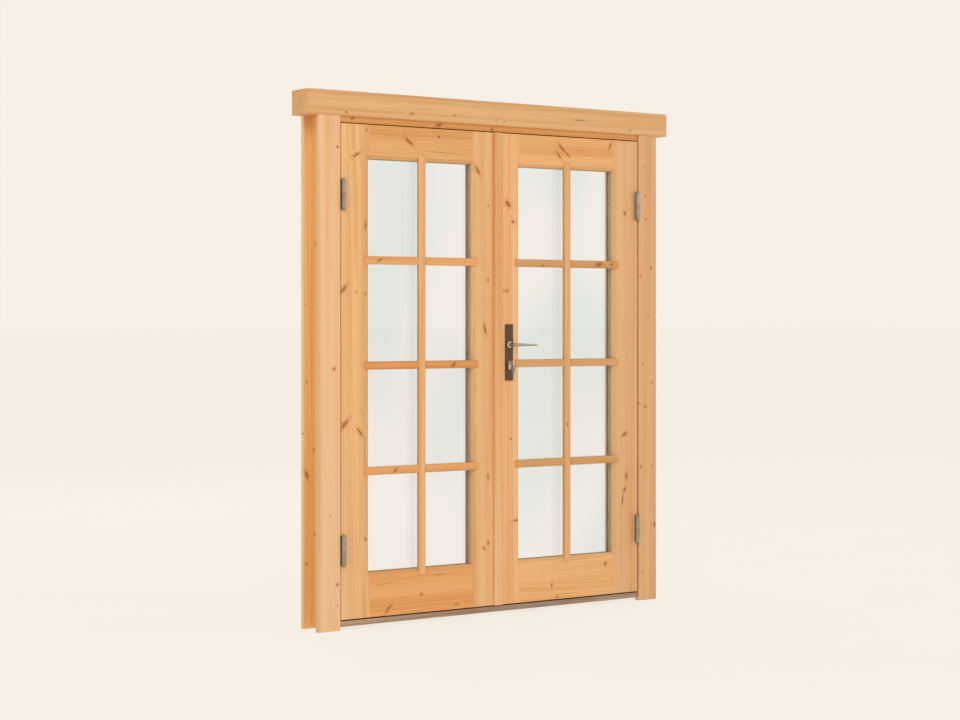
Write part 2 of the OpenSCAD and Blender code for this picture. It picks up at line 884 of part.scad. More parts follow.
module plate_screws() {
    color(steel) on_leaf(RIGHT) for (z = plate_screw_zs) {
        rod_y_at(lever_u, z, -plate_t, leaf_t + plate_t, plate_screw_r);
        rod_y_at(lever_u, z, -plate_t - screw_head_t, -plate_t, plate_screw_r + screw_head_rim);
        rod_y_at(lever_u, z, leaf_t + plate_t, leaf_t + plate_t + screw_head_t,
                 plate_screw_r + screw_head_rim);
    }
}

// A lever on the front face: round neck, then a grip that tapers to its tip
module lever_shape() {
    grip_y = -plate_t - lever_out;
    difference() {
        union() {
            rod_y_at(lever_u, lever_z, grip_y, -fit_gap, neck_r);
            hull() {
                translate([lever_u, grip_y, lever_z]) sphere(r = neck_r, $fn = 24);
                translate([lever_u - lever_l * grip_bend, grip_y, lever_z]) scale(grip_thin)
                    sphere(r = neck_r, $fn = 24);
                translate([lever_u - lever_l + tip_r, grip_y + tip_back, lever_z])
                    sphere(r = tip_r, $fn = 24);
            }
        }
        spindle_block(spindle_w + fit_gap);
    }
}

module outer_lever() {
    color(steel) on_leaf(RIGHT) lever_shape();
}

module inner_lever() {
    color(steel) on_leaf(RIGHT) at_back() lever_shape();
}

// ---- bolts on the passive leaf ----

function rod_x() = -leaf_x + rod_u;

// Bracket of a bolt that starts at z0 and runs up by bracket_l, on the leaf's back face
module bolt_bracket(z0) {
    color(steel) on_leaf(LEFT) difference() {
        union() {
            block([rod_u - bracket_w / 2, leaf_t, z0],
                  [rod_u + bracket_w / 2, leaf_t + bracket_t, z0 + bracket_l]);
            for (z = [z0, z0 + bracket_l - guide_l])
                block([rod_u - rod_r - guide_wall, leaf_t, z],
                      [rod_u + rod_r + guide_wall, rod_y + rod_r + guide_wall, z + guide_l]);
        }
        translate([rod_u, rod_y, z0 - 1]) cylinder(r = rod_r + run_clear, h = bracket_l + 2);
    }
}

top_bracket_z = stop_under_z - leaf_z - bracket_end - bracket_l;
bottom_bracket_z = sill_top_z - leaf_z + bracket_end;

// A rod with its finger knob, from z0, knob half way between the guides
module bolt_rod(z0, knob_z) {
    color(steel) on_leaf(LEFT) {
        translate([rod_u, rod_y, z0]) cylinder(r = rod_r, h = rod_l);
        rod_y_at(rod_u, knob_z, rod_y, rod_y + knob_neck_l, knob_neck_r);
        rod_y_at(rod_u, knob_z, rod_y + knob_neck_l, rod_y + knob_neck_l + knob_t, knob_r);
    }
}

module top_bolt_rod() {
    bolt_rod(stop_under_z - leaf_z - rod_rest_gap - rod_l,
             top_bracket_z + bracket_l / 2 - rod_throw / 2);
}

module bottom_bolt_rod() {
    bolt_rod(sill_top_z - leaf_z + rod_rest_gap,
             bottom_bracket_z + bracket_l / 2 + rod_throw / 2);
}

// ---- all nodes ----

jamb(LEFT);  // left_jamb
jamb(RIGHT);  // right_jamb
head_jamb();
threshold();
head_beam();
front_casing(LEFT);  // left_front_casing
front_casing(RIGHT);  // right_front_casing
back_casing(LEFT);  // left_back_casing
back_casing(RIGHT);  // right_back_casing
head_back_casing();
frame_seal();
frame_hinge_halves();
hinge_pins();
hinge_washers();
hinge_stile(LEFT);  // left_hinge_stile
left_meeting_stile();
rail(LEFT, leaf_h - top_rail_w, top_rail_w);  // left_top_rail
rail(LEFT, 0, bottom_rail_w);  // left_bottom_rail
panes(LEFT);  // left_glass
spacer(LEFT);  // left_glass_spacer
beads(LEFT);  // left_glazing_beads
upright_bar(LEFT);  // left_upright_bar
cross_bar_set(LEFT);  // left_cross_bars
leaf_hinge_halves(LEFT);  // left_leaf_hinge_halves
strike_plate();
strike_screws();
bolt_bracket(top_bracket_z);  // top_bolt_bracket
bolt_bracket(bottom_bracket_z);  // bottom_bolt_bracket
top_bolt_rod();
bottom_bolt_rod();
hinge_stile(RIGHT);  // right_hinge_stile
right_meeting_stile();
rail(RIGHT, leaf_h - top_rail_w, top_rail_w);  // right_top_rail
rail(RIGHT, 0, bottom_rail_w);  // right_bottom_rail
panes(RIGHT);  // right_glass
spacer(RIGHT);  // right_glass_spacer
beads(RIGHT);  // right_glazing_beads
upright_bar(RIGHT);  // right_upright_bar
cross_bar_set(RIGHT);  // right_cross_bars
leaf_hinge_halves(RIGHT);  // right_leaf_hinge_halves
cover_strip();
lock_case();
lock_forend();
forend_screws();
outer_plate();
inner_plate();
plate_screws();
lock_cylinder();
outer_lever();
inner_lever();
spindle();
lock_follower();
latch_bolt();
deadbolt();
cylinder_plug();
key();
key_ring();
spare_key();
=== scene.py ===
"""Looks of the glazed double doors: wood, glass, metal, small fittings, studio and camera."""

import math
import random

import bmesh
import bpy
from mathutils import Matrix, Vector


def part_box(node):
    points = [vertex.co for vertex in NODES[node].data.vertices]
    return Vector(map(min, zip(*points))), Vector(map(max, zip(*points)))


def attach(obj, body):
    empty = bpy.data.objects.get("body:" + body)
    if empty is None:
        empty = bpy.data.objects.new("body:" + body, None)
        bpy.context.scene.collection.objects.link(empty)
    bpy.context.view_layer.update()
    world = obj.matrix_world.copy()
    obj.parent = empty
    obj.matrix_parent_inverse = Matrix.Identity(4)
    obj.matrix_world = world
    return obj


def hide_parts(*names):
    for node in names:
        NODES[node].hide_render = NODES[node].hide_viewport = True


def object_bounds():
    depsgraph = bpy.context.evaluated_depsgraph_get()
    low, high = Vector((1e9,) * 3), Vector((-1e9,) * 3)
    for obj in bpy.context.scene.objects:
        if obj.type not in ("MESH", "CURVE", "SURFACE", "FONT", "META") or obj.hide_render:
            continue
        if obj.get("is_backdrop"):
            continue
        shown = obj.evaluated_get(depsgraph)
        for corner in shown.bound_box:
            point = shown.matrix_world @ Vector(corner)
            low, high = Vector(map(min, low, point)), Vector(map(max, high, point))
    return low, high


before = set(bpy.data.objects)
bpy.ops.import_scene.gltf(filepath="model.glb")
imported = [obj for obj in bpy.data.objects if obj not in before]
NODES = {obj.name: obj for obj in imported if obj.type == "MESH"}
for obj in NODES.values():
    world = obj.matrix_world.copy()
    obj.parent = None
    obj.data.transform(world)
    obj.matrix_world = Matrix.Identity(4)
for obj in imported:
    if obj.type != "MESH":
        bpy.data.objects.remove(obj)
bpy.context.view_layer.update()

MM = 0.001


# ---- node-tree helpers ----

class Tree:
    """A short way to write a shader: t("Type", {inputs}, attribute=value) gives the node."""

    def __init__(self, name):
        self.material = bpy.data.materials.new(name)
        self.material.use_nodes = True
        self.tree = self.material.node_tree
        self.tree.nodes.clear()

    def __call__(self, kind, inputs=None, **attributes):
        node = self.tree.nodes.new("ShaderNode" + kind)
        for key, value in attributes.items():
            setattr(node, key, value)
        for key, value in (inputs or {}).items():
            if isinstance(value, bpy.types.NodeSocket):
                self.tree.links.new(value, node.inputs[key])
            else:
                node.inputs[key].default_value = value
        return node

    def math(self, operation, a, b=0.0, c=0.0):
        return self("Math", {0: a, 1: b, 2: c}, operation=operation).outputs[0]

    def vector(self, operation, a, b=(0, 0, 0)):
        node = self("VectorMath", {0: a, 1: b}, operation=operation)
        return node.outputs["Value" if operation == "LENGTH" else "Vector"]

    def mix(self, factor, a, b, blend="MIX"):
        node = self("Mix", {0: factor, 6: a, 7: b}, data_type="RGBA", blend_type=blend)
        return node.outputs[2]

    def smooth(self, value, low, high, out_low=0.0, out_high=1.0):
        node = self("MapRange", {0: value, 1: low, 2: high, 3: out_low, 4: out_high},
                    interpolation_type="SMOOTHSTEP")
        return node.outputs[0]

    def noise(self, vector, scale, detail=3.0, rough=0.55):
        node = self("TexNoise", {"Vector": vector, "Scale": scale, "Detail": detail,
                                 "Roughness": rough})
        return node.outputs[0]

    def stretch(self, vector, scale):
        return self.vector("MULTIPLY", vector, scale)

    def finish(self, shader):
        self("OutputMaterial", {"Surface": shader.outputs[0]})
        return self.material


def rgb(r, g, b):
    """An sRGB colour, 0 to 255, as linear light."""
    def line(c):
        c /= 255
        return c / 12.92 if c <= 0.04045 else ((c + 0.055) / 1.055) ** 2.4
    return (line(r), line(g), line(b), 1)


# ---- wood ----

# Knots on the faces that show: x and z of the middle, radius and stretch along the slant
# in mm, slant in degrees from upright, darkness from 0 to 1. Placed to 5 mm
KNOTS = {
    "left_front_casing": [(-725, 1775, 6, 1, 0, 1), (-740, 955, 8, 1.6, 60, 0.6),
        (-725, 160, 7, 1.2, 0, 0.9), (-755, 415, 5, 1, 0, 0.6), (-725, 80, 4, 1.5, 0, 0.6)],
    "right_front_casing": [(735, 1765, 5, 1, 0, 0.6), (745, 1645, 5, 1, 0, 0.9),
        (745, 1550, 5, 1, 0, 1), (775, 1350, 6, 1.3, 0, 0.9), (720, 1315, 6, 1, 0, 0.8),
        (760, 1150, 4, 1, 0, 0.7), (730, 955, 5, 1, 0, 0.8), (780, 880, 6, 1, 0, 0.7),
        (745, 780, 6, 1, 0, 1), (715, 795, 5, 1, 0, 0.8), (720, 535, 6, 1.4, 0, 0.9),
        (785, 535, 5, 1, 0, 0.8), (795, 295, 8, 1.6, 0, 0.8), (730, 105, 5, 1, 0, 0.8)],
    "left_back_casing": [(-795, 1190, 4, 1, 0, 0.7), (-790, 905, 5, 1, 0, 0.9),
        (-790, 560, 8, 3, -20, 0.9), (-790, 230, 5, 1, 0, 0.7)],
    "left_hinge_stile": [(-595, 1845, 5, 1.6, 0, 0.7), (-640, 1750, 8, 3.6, 60, 0.75),
        (-600, 1490, 6, 3.4, 5, 0.85), (-695, 1250, 9, 3.2, 40, 0.9),
        (-600, 1235, 4, 1.8, 0, 0.9), (-640, 1240, 4, 1.3, 0, 0.6),
        (-690, 750, 10, 3.2, 40, 0.9), (-625, 720, 6, 4.4, -40, 1), (-600, 320, 6, 1.5, 0, 0.8)],
    "left_meeting_stile": [(-90, 1715, 9, 3.2, -30, 0.8), (-40, 1580, 5, 1.3, 0, 0.8),
        (-40, 1290, 5, 2, 0, 0.8), (-55, 1100, 8, 3.6, -15, 0.9), (-55, 1090, 4, 1.6, -15, 1),
        (-40, 525, 5, 3.4, 0, 0.8), (-40, 270, 6, 1.8, 10, 0.9), (-60, 250, 5, 2.6, -35, 0.8)],
    "right_meeting_stile": [(55, 1590, 12, 1.8, -40, 0.9), (80, 1520, 8, 1.5, -70, 0.8),
        (35, 1250, 6, 1.4, 0, 0.6), (50, 1250, 9, 1.2, 0, 0.8), (70, 670, 5, 1.5, 0, 0.8),
        (95, 350, 7, 2.6, 85, 0.85), (35, 480, 4, 1, 0, 0.7), (95, 960, 6, 1.4, 40, 0.6)],
    "right_hinge_stile": [(640, 1570, 8, 1.3, 0, 1), (640, 670, 9, 2.2, 60, 0.8),
        (650, 500, 8, 2.6, 5, 0.8), (640, 445, 8, 2, 20, 0.8), (630, 400, 5, 6, 10, 0.7)],
    "left_top_rail": [(-270, 1835, 6, 1, 0, 1), (-405, 1810, 8, 4, -50, 0.8)],
    "left_bottom_rail": [(-350, 95, 7, 1, 0, 1), (-500, 50, 7, 4, 40, 0.8),
        (-190, 45, 5, 2.8, 85, 0.8)],
    "right_top_rail": [(320, 1820, 8, 4.2, -45, 0.8), (305, 1790, 7, 3.8, -40, 0.7),
        (350, 1795, 6, 3.4, -45, 0.6), (565, 1840, 6, 3.4, 25, 0.9)],
    "right_bottom_rail": [(540, 150, 8, 1.2, 0, 1), (270, 80, 5, 3.4, 0, 0.7),
        (295, 35, 6, 2, 85, 0.7)],
    "head_beam": [(-400, 1915, 5, 2.6, 80, 0.6), (-205, 1920, 4, 2.4, 70, 0.6),
        (-690, 1905, 5, 1.4, 0, 0.9), (30, 1910, 4, 1, 0, 0.8), (-10, 1915, 4, 1.6, 0, 0.7),
        (400, 1935, 3, 14, 90, 0.6), (660, 1910, 5, 1, 0, 0.8)],
    "head_jamb": [(-270, 1880, 8, 2.4, 70, 0.9), (-655, 1885, 6, 2, 60, 0.7),
        (-20, 1875, 7, 1.6, 0, 0.8)],
    "left_cross_bars": [(-540, 1360, 5, 3.4, 60, 0.8), (-205, 965, 8, 2, 50, 1),
        (-470, 570, 7, 2.6, 50, 0.6)],
    "right_cross_bars": [(505, 1360, 9, 2.4, 80, 1), (570, 1360, 6, 2, 70, 0.8),
        (220, 1350, 5, 1.6, 0, 0.7)],
    "right_upright_bar": [(345, 720, 5, 1.4, 0, 0.9)],
}

# Knots on the jambs' groove faces, with y in place of x
SIDE_KNOTS = {
    "left_jamb": [(12, 1417, 7, 1.5, 0, .9), (-6, 708, 6, 1, 0, .7), (24, 652, 7, 1.6, 0, .8),
                  (-10, 590, 4, 5, 24, 1), (-2, 560, 5, 3, -30, .9), (18, 340, 7, 1.3, 0, .9),
                  (-8, 1074, 5, 1, 0, .7), (-10, 905, 5, 1, 0, .9)],
    "right_jamb": [(10, 1500, 6, 1.4, 0, .8), (-12, 820, 7, 1.3, 0, .8), (15, 300, 5, 1, 0, .7)],
}

# Cracks from drying: x and z of the middle, half length and half width in mm, slant from upright
CRACKS = {
    "left_top_rail": [(-262, 1776, 145, .9, -87.5), (-452, 1784, 60, .6, -86)],
    "right_top_rail": [(400, 1816, 88, .8, -87)],
    "left_bottom_rail": [(-520, 146, 60, .9, 84), (-268, 164, 34, 1.3, 88),
                         (-350, 36, 120, .7, 88), (-180, 100, 60, .6, 88)],
    "right_bottom_rail": [(400, 176, 170, .9, 89), (330, 44, 90, .8, 88)],
    "left_hinge_stile": [(-602, 870, 100, .8, 0), (-603, 640, 70, 1.3, 0),
                         (-612, 790, 26, .9, -30)],
    "right_hinge_stile": [(624, 250, 210, .8, 0), (630, 420, 60, 1.2, 12)],
    "right_meeting_stile": [(28, 1700, 90, .9, 0), (26, 420, 80, .7, 0)],
    "head_beam": [(420, 1934, 70, .7, -88), (-330, 1936, 90, .4, -88.5)],
    "left_front_casing": [(-748, 1330, 60, .5, 0)],
}

# Tones of fresh spruce: pale early wood, warmer late wood
EARLY = rgb(243, 197, 146)
LATE = rgb(219, 148, 86)
KNOT_CORE = rgb(164, 98, 50)
KNOT_RIM = rgb(116, 66, 36)
KNOT_HALO = rgb(206, 124, 60)
CRACK = rgb(112, 60, 30)
KNOT_SCALE = 0.8


def nearest(t, point, spots, side=False):
    """Distance to the nearest spot, as a share of its size; a faint spot reads as farther."""
    best = None
    for a, z, wide, long, slant, strength in spots:
        place = (0, a * MM, z * MM) if side else (a * MM, 0, z * MM)
        turn = (-math.radians(slant), 0, 0) if side else (0, math.radians(slant), 0)
        wide, long = wide * KNOT_SCALE, long * KNOT_SCALE
        size = (10, wide * MM, long * MM) if side else (wide * MM, 10, long * MM)
        at = t("Mapping", {"Vector": point, "Location": place, "Rotation": turn,
                           "Scale": size}, vector_type="TEXTURE")
        away = t.vector("LENGTH", at.outputs[0])
        away = t.math("ADD", away, (1 - strength) * 0.55)
        best = away if best is None else t.math("MINIMUM", best, away)
    return best


def wood(node, along, tone_and_shade=(1, 1, 1), seed=0, pin_knots=3, gloss=0.56):
    """Sawn spruce: growth rings of a log whose heart lies beside the board."""
    rng = random.Random(seed * 7919 + 13)
    low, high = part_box(node)
    size = high - low
    t = Tree("wood_" + node)
    place = t("TexCoord").outputs["Object"]
    parts = t("SeparateXYZ", {0: place}).outputs
    run = parts[0] if along == "X" else parts[2]
    across = parts[2] if along == "X" else parts[0]
    middle = (low + high) / 2
    half = size[2] / 2 if along == "X" else size[0] / 2
    heart_a = (middle[2] if along == "X" else middle[0]) + rng.uniform(-1.4, 1.4) * half
    heart_b = middle[1] + rng.choice((-1, 1)) * rng.uniform(0.05, 0.11)
    point = t("CombineXYZ", {0: across, 1: parts[1], 2: run}).outputs[0]
    shift = Vector((rng.uniform(-9, 9), rng.uniform(-9, 9), rng.uniform(-9, 9)))
    shifted = t.vector("ADD", point, shift)

    # Knots bend the grain around themselves
    spots = [(x, z, r, r * k, s, d) for x, z, r, k, s, d in KNOTS.get(node, [])]
    for _ in range(pin_knots):
        spots.append((rng.uniform(low[0], high[0]) / MM, rng.uniform(low[2], high[2]) / MM,
                      rng.uniform(1.4, 2.4), rng.uniform(2, 4), 90 * (along == "X"),
                      rng.uniform(0.2, 0.6)))
    jitter = t("TexNoise", {"Vector": place, "Scale": 70, "Detail": 2})
    warp = t.vector("MULTIPLY", t.vector("SUBTRACT", jitter.outputs["Color"], (.5, .5, .5)),
                    (.006, .006, .006))
    warped = t.vector("ADD", place, warp)
    if node in SIDE_KNOTS:
        spots = [(y, z, r, r * k, s, d) for y, z, r, k, s, d in SIDE_KNOTS[node]]
        knot = nearest(t, warped, spots, side=True)
    else:
        knot = nearest(t, warped, spots)
    bend = t.smooth(knot, 0.6, 3.4, 1, 0)

    # Growth rings
    wave = t.noise(t.stretch(shifted, (5, 5, 0.7)), 1, 2)
    drift = t.math("MULTIPLY", t.math("SUBTRACT", wave, 0.5), 0.06)
    lean = rng.uniform(-0.03, 0.03)
    a = t.math("ADD", t.math("SUBTRACT", across, heart_a),
               t.math("MULTIPLY_ADD", run, lean, drift))
    b = t.math("SUBTRACT", parts[1], heart_b)
    radius = t.vector("LENGTH", t("CombineXYZ", {0: a, 1: b}).outputs[0])
    ring_width = rng.uniform(0.0038, 0.0062)
    rings = t.math("MULTIPLY_ADD", radius, 1 / ring_width, t.math("MULTIPLY", bend, 1.3))
    rings = t.math("ADD", rings, t.math("MULTIPLY", wave, 1.5))
    phase = t.math("FRACT", rings)
    late = t.math("MULTIPLY", t.smooth(phase, 0.25, 0.86), t.smooth(phase, 0.9, 1.0, 1, 0))

    # Slow colour bands along the grain, then fine fibres
    band = t.noise(t.stretch(shifted, (26, 26, 0.55)), 1, 4, 0.6)
    wide_band = t.noise(t.stretch(shifted, (8, 8, 0.35)), 1, 2, 0.5)
    fibre = t.noise(t.stretch(shifted, (900, 900, 14)), 1, 2, 0.6)
    amount = t.math("MULTIPLY_ADD", late, 0.26, t.smooth(band, 0.3, 0.75, -0.02, 0.42))
    amount = t.math("ADD", amount, t.smooth(wide_band, 0.3, 0.7, -0.04, 0.3))
    amount = t.math("MULTIPLY_ADD", t.math("SUBTRACT", fibre, 0.5), 0.22, amount)
    colour = t.mix(amount, EARLY, LATE)

    # Knot halo, core and rim
    halo = t.math("MULTIPLY", t.smooth(knot, 0.7, 2.4, 0.5, 0), t.smooth(band, .2, .7, .6, 1))
    colour = t.mix(halo, colour, KNOT_HALO)
    colour = t.mix(t.smooth(knot, 0.4, 1.05, 0.66, 0), colour, KNOT_CORE)
    rim = t.math("MULTIPLY", t.smooth(knot, 0.3, 0.6), t.smooth(knot, 0.7, 0.95, 0.5, 0))
    colour = t.mix(rim, colour, KNOT_RIM)

    # Cracks
    height = t.math("MULTIPLY_ADD", late, 0.5, t.math("MULTIPLY", fibre, 0.6))
    if node in CRACKS:
        cracks = [(x, z, w, l, s, 1) for x, z, l, w, s in CRACKS[node]]
        slow = t.noise(t.stretch(shifted, (0, 0, 22)), 1, 3)
        aside = t.math("MULTIPLY", t.math("SUBTRACT", slow, .5), .004)
        sway = t("CombineXYZ", {0: aside, 2: aside})
        crack = nearest(t, t.vector("ADD", place, sway.outputs[0]), cracks)
        depth = t.smooth(crack, 0.5, 1.3, 0.85, 0)
        colour = t.mix(depth, colour, CRACK)
        height = t.math("SUBTRACT", height, t.math("MULTIPLY", depth, 2))
    # Multiplies by the board's tone; for the head jamb this tone is a painted shadow from the
    # beam.
    colour = t.mix(1.0, colour, (*tone_and_shade, 1), "MULTIPLY")
    rough = t.math("MULTIPLY_ADD", late, -0.1, gloss + 0.06)
    edge = t("Bevel", {"Radius": 0.0012}, samples=4)
    bump = t("Bump", {"Strength": 0.22, "Distance": 0.0006, "Height": height,
                      "Normal": edge.outputs[0]})
    shader = t("BsdfPrincipled", {"Base Color": colour, "Roughness": rough,
                                  "Normal": bump.outputs[0], "Specular IOR Level": 0.32})
    return t.finish(shader)


def weathered_sill():
    """Old threshold: grey-brown, dirt in the grain, paler where feet have polished it."""
    t = Tree("weathered_sill")
    place = t("TexCoord").outputs["Object"]
    long = t.noise(t.stretch(place, (1.6, 60, 60)), 1, 5, 0.65)
    patch = t.noise(t.stretch(place, (5, 8, 14)), 1, 4, 0.6)
    fibre = t.noise(t.stretch(place, (16, 700, 700)), 1, 3)
    colour = t.mix(t.smooth(long, 0.3, 0.72), rgb(196, 160, 130), rgb(138, 112, 92))
    colour = t.mix(t.smooth(patch, 0.45, 0.75, 0, 0.7), colour, rgb(168, 152, 140))
    colour = t.mix(t.smooth(fibre, 0.55, 0.9, 0, 0.35), colour, rgb(96, 74, 58))
    bump = t("Bump", {"Strength": 0.5, "Distance": 0.0012, "Height": long})
    return t.finish(t("BsdfPrincipled", {"Base Color": colour, "Normal": bump.outputs[0],
                                         "Roughness": t.smooth(patch, .3, .7, .62, .85)}))


# ---- metal, rubber, glass ----

def metal(name, colour, worn, rough=0.34, grain=(60, 60, 900), metallic=1.0, patch=0.4):
    """Brushed or lacquered metal: fine brushing, smudges and paler rubbed patches."""
    t = Tree(name)
    place = t("TexCoord").outputs["Object"]
    brush = t.noise(t.stretch(place, grain), 1, 3)
    smudge = t.noise(place, 45, 4)
    tint = t.mix(t.smooth(smudge, 0.4, 0.75, 0, patch), colour, worn)
    tint = t.mix(t.math("MULTIPLY", brush, 0.16), tint, worn)
    gloss = t.math("MULTIPLY_ADD", smudge, 0.26, rough - 0.1)
    edge = t("Bevel", {"Radius": 0.0007}, samples=4)
    bump = t("Bump", {"Strength": 0.12, "Distance": 0.0002, "Height": brush,
                      "Normal": edge.outputs[0]})
    return t.finish(t("BsdfPrincipled", {"Base Color": tint, "Roughness": gloss,
                                         "Metallic": metallic, "Normal": bump.outputs[0]}))


def pane_glass():
    """Clear float glass with a faint cool tint, a painted sky reflection in soft clouds, and a
    little unevenness.
    """
    t = Tree("pane_glass")
    place = t("TexCoord").outputs["Object"]
    # The clouds between the two tints are a painted reflection of the sky; the faint cool tint is
    # the glass's own.
    cloud = t.noise(t.stretch(place, (1.7, 1, 1.1)), 1, 1)
    tint = t.mix(t.smooth(cloud, 0.4, 0.62), rgb(253, 253, 255), rgb(245, 250, 252))
    ripple = t("Bump", {"Strength": 0.015, "Distance": 0.001,
                        "Height": t.noise(place, 9, 1)})
    return t.finish(t("BsdfPrincipled", {"Base Color": tint, "Roughness": 0.0, "IOR": 1.45,
                                         "Transmission Weight": 1.0,
                                         "Normal": ripple.outputs[0]}))


def rubber():
    """Tan profile seal, dusty."""
    t = Tree("seal_rubber")
    place = t("TexCoord").outputs["Object"]
    dust = t.noise(place, 120, 3)
    colour = t.mix(t.smooth(dust, 0.4, 0.8), rgb(176, 122, 74), rgb(196, 150, 104))
    return t.finish(t("BsdfPrincipled", {"Base Color": colour, "Roughness": 0.75}))


BOARDS = {
    # node: grain direction, tone (for the head jamb with painted shade), pin knots
    "left_jamb": ("Z", (1.05, .98, .80), 1), "right_jamb": ("Z", (1.0, .94, .80), 1),
    # The head jamb's darker, more orange tone is painted shade: the shadow that the beam above
    # casts on it.
    "head_jamb": ("X", (.86, .72, .48), 1), "head_beam": ("X", (.89, .87, .80), 3),
    "left_front_casing": ("Z", (1.02, 1.07, 1.17), 2),
    "right_front_casing": ("Z", (.94, .98, 1.06), 2),
    "left_back_casing": ("Z", (1.06, 1.16, 1.14), 2),
    "right_back_casing": ("Z", (1.0, 1.06, 1.06), 2),
    "head_back_casing": ("X", (1.0, 1.05, 1.04), 2),
    "left_hinge_stile": ("Z", (1.04, 1.08, 1.07), 1),
    "left_meeting_stile": ("Z", (1.0, 1.04, 1.05), 1),
    "left_top_rail": ("X", (.94, .86, .68), 1), "left_bottom_rail": ("X", (1.05, .98, .80), 1),
    "left_glazing_beads": ("Z", (1.0, 1.0, .95), 1), "left_upright_bar": ("Z", (1.0, 1.0, .95), 1),
    "left_cross_bars": ("X", (.97, .83, .63), 1),
    "right_hinge_stile": ("Z", (.92, .92, .92), 1),
    "right_meeting_stile": ("Z", (1.06, 1.06, 1.02), 1),
    "right_top_rail": ("X", (1.0, .93, .78), 1), "right_bottom_rail": ("X", (1.07, 1.06, .96), 1),
    "right_glazing_beads": ("Z", (1.0, .99, .94), 1),
    "right_upright_bar": ("Z", (.99, .98, .92), 1),
    "right_cross_bars": ("X", (.85, .83, .73), 1),
    "cover_strip": ("Z", (1.0, 1.0, 1.0), 1),
}


def paint(node, material):
    """Puts one material on a CAD node."""
    slots = NODES[node].data.materials
    slots.clear()
    slots.append(material)


for index, (board, (along, tone_and_shade, pins)) in enumerate(BOARDS.items()):
    paint(board, wood(board, along, tone_and_shade, seed=index + 1, pin_knots=pins))

paint("threshold", weathered_sill())

HINGE = metal("hinge_zinc", rgb(150, 145, 132), rgb(196, 192, 178), rough=0.34, patch=0.5)
LOCK = metal("lock_nickel", rgb(188, 184, 176), rgb(214, 210, 202))
BRASS = metal("washer_brass", rgb(104, 82, 52), rgb(140, 112, 70))
SPACER = metal("spacer_mill", rgb(222, 214, 198), rgb(234, 226, 210), rough=0.55, metallic=0.0)
LEVER = metal("lever_satin", rgb(172, 156, 142), rgb(214, 200, 186), rough=0.3,
              grain=(60, 900, 900))
SCREW = metal("screw_browned", rgb(92, 70, 56), rgb(140, 112, 90), rough=0.4)
KEYS = metal("key_nickel", rgb(202, 196, 186), rgb(226, 220, 210), rough=0.3, metallic=0.7)
PLATE = metal("plate_lacquer", rgb(84, 60, 47), rgb(150, 118, 90), rough=0.42, metallic=0.55,
              patch=0.25)
GLASS = pane_glass()

FINISHES = {
    HINGE: "frame_hinge_halves hinge_pins left_leaf_hinge_halves right_leaf_hinge_halves",
    BRASS: "hinge_washers",
    SPACER: "left_glass_spacer right_glass_spacer",
    GLASS: "left_glass right_glass",
    LOCK: "strike_plate strike_screws lock_case lock_forend forend_screws lock_follower "
          "latch_bolt deadbolt spindle lock_cylinder cylinder_plug "
          "top_bolt_bracket bottom_bolt_bracket top_bolt_rod bottom_bolt_rod",
    SCREW: "plate_screws",
    LEVER: "outer_lever inner_lever",
    KEYS: "key key_ring spare_key",
    PLATE: "outer_plate inner_plate",
    rubber(): "frame_seal",
}
for material, names in FINISHES.items():
    for name in names.split():
        paint(name, material)


# ---- fittings added around the CAD nodes ----

UP = Vector((0, 0, 1))
INWARDS = Vector((0, 1, 0))

# Levers
LEVER_LOW, LEVER_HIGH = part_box("outer_lever")
INNER_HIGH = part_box("inner_lever")[1]
NECK_R = 8 * MM
NECK_SHARE = 0.86
AXIS_X = LEVER_LOW[0] + NECK_R
AXIS_Z = (LEVER_LOW[2] + LEVER_HIGH[2]) / 2
SEAT_H = 4 * MM
BEND_R = 15 * MM
TIP_INSET = 2 * MM
TIP_SHARE = 0.14
DROOP = 1.5 * MM
LEVER_SIDES, BEND_STEPS, BLADE_STEPS = 28, 8, 16

# Height over the plate and radius, in mm
COLLAR = [(0.0, 14.2), (4.2, 14.2), (5.6, 13.0), (6.2, 10.5), (6.4, 8.6), (9.0, 8.0), (9.6, 7.2)]

# Hinges
BARREL_R = 9 * MM
CAP_R, CAP_H = 8.6 * MM, 4.5 * MM
HINGE_PLATE_T = 2.4 * MM
HINGE_HEAD_R, HINGE_HEAD_H = 3.4 * MM, 0.22 * MM
HINGE_SCREW_ROWS = (26 * MM, 46 * MM)
LEAF_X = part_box("right_hinge_stile")[1][0]

# Glazing
TENON = 60 * MM
FILLET_WIDE, FILLET_DEEP = 2.2 * MM, 3.0 * MM
PIN_INSET, PIN_R, PIN_H = 7 * MM, 1.1 * MM, 0.5 * MM

# Slide bolts
BRACKET_T = 2 * MM
BRACKET_SCREW_END, BRACKET_SCREW_SIDE = 24 * MM, 3.4 * MM
BRACKET_HEAD_R, BRACKET_HEAD_H = 2.6 * MM, 1.4 * MM


def piece(name, body, material, bm, smooth=True):
    """Turns a bmesh into a named piece that rides on a body."""
    mesh = bpy.data.meshes.new(name)
    bmesh.ops.recalc_face_normals(bm, faces=bm.faces)
    bm.to_mesh(mesh)
    bm.free()
    for face in mesh.polygons:
        face.use_smooth = smooth
    mesh.materials.append(material)
    obj = bpy.data.objects.new(name, mesh)
    bpy.context.collection.objects.link(obj)
    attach(obj, body)
    return obj


def ring_of(bm, centre, u, v, ru, rv, sides):
    """A loop of vertices on an ellipse with half axes ru along u and rv along v."""
    loop = []
    for i in range(sides):
        turn = math.tau * i / sides
        loop.append(bm.verts.new(centre + u * (ru * math.cos(turn)) + v * (rv * math.sin(turn))))
    return loop


def skin(bm, loops):
    """Quads between loops, with both ends closed."""
    for a, b in zip(loops, loops[1:]):
        for i in range(len(a)):
            j = (i + 1) % len(a)
            bm.faces.new((a[i], a[j], b[j], b[i]))
    bm.faces.new(loops[0])
    bm.faces.new(loops[-1])


